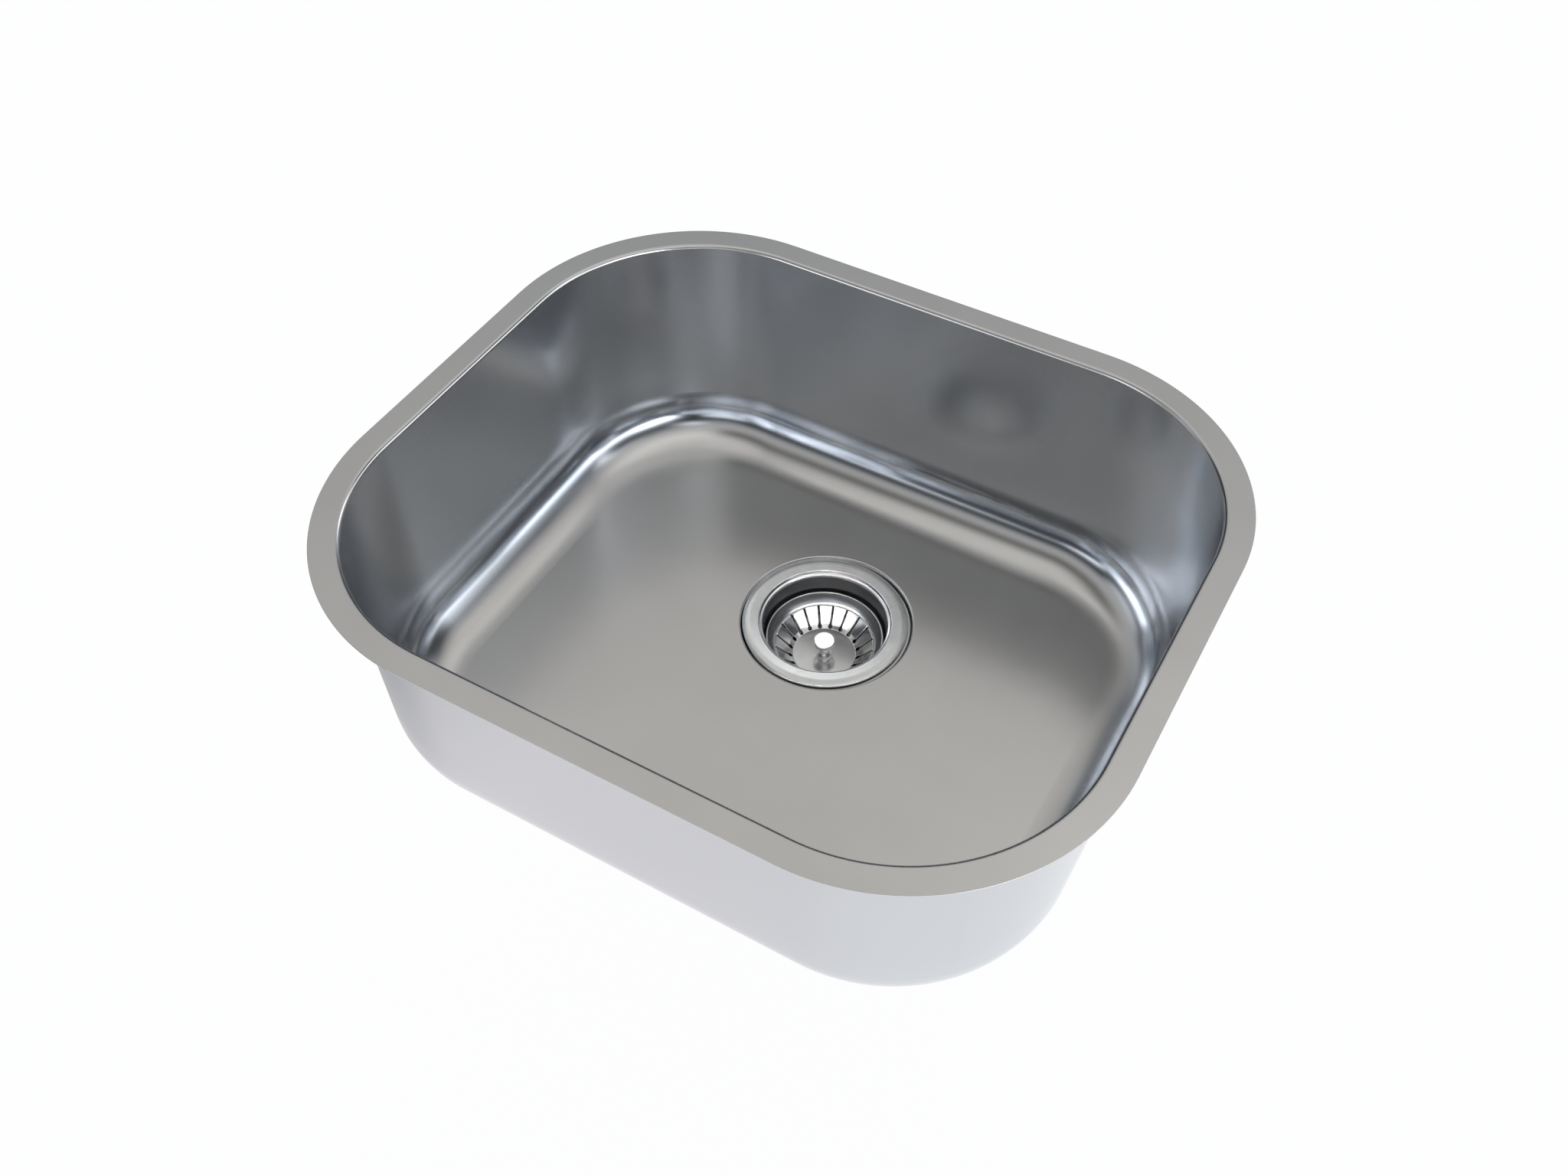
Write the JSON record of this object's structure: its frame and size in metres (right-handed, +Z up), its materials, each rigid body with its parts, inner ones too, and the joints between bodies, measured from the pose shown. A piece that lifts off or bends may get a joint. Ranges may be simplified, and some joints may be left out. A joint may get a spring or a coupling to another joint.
{
  "type": "undermount kitchen sink",
  "caption": "Single-bowl undermount kitchen sink in drawn stainless steel with a flat flange, rounded corners and a lift-out basket strainer in its floor.",
  "frame": {"origin": "centre of the flange's flat top face, which is fastened up under the worktop", "axes": "+Z up; +X along the long sides; +Y towards the back, where the drain is"},
  "size_m": [0.5, 0.43, 0.3041],
  "materials": {
    "bowl_steel": "satin drawn stainless steel",
    "drain_steel": "polished stainless steel",
    "plated_metal": "chrome-plated brass",
    "cast_metal": "plain die-cast zinc",
    "rubber": "black moulded rubber",
    "clear_seal": "milky polyethylene",
    "fibre": "pressed brown fibre",
    "pad": "grey self-adhesive damping pad"
  },
  "bodies": {
    "sink": {"sink_bowl": "bowl_steel", "sound_pad_left": "pad", "sound_pad_right": "pad", "sound_pad_front": "pad", "strainer_body": "drain_steel", "rim_gasket": "rubber", "under_gasket": "rubber", "friction_washer": "fibre", "lock_nut": "cast_metal", "outlet_nipple": "plated_metal", "guide_cross": "plated_metal", "tailpiece_washer": "clear_seal", "tailpiece": "plated_metal", "coupling_nut": "plated_metal"},
    "stopper": {"stopper_seal": "rubber"},
    "basket": {"basket_cup": "drain_steel", "basket_knob": "drain_steel", "basket_stem": "drain_steel", "detent_ring": "rubber", "seal_retainer": "drain_steel", "stem_nut": "drain_steel"}
  },
  "joints": [
    {"name": "basket_lift", "type": "slide", "parent": "sink", "child": "stopper", "axis": [0, 0, 1], "range_m": [0, 0.25]},
    {"name": "basket_turn", "type": "hinge", "parent": "stopper", "child": "basket", "pos_m": [0, 0.0545, -0.2076], "axis": [0, 0, 1], "continuous": true}
  ]
}
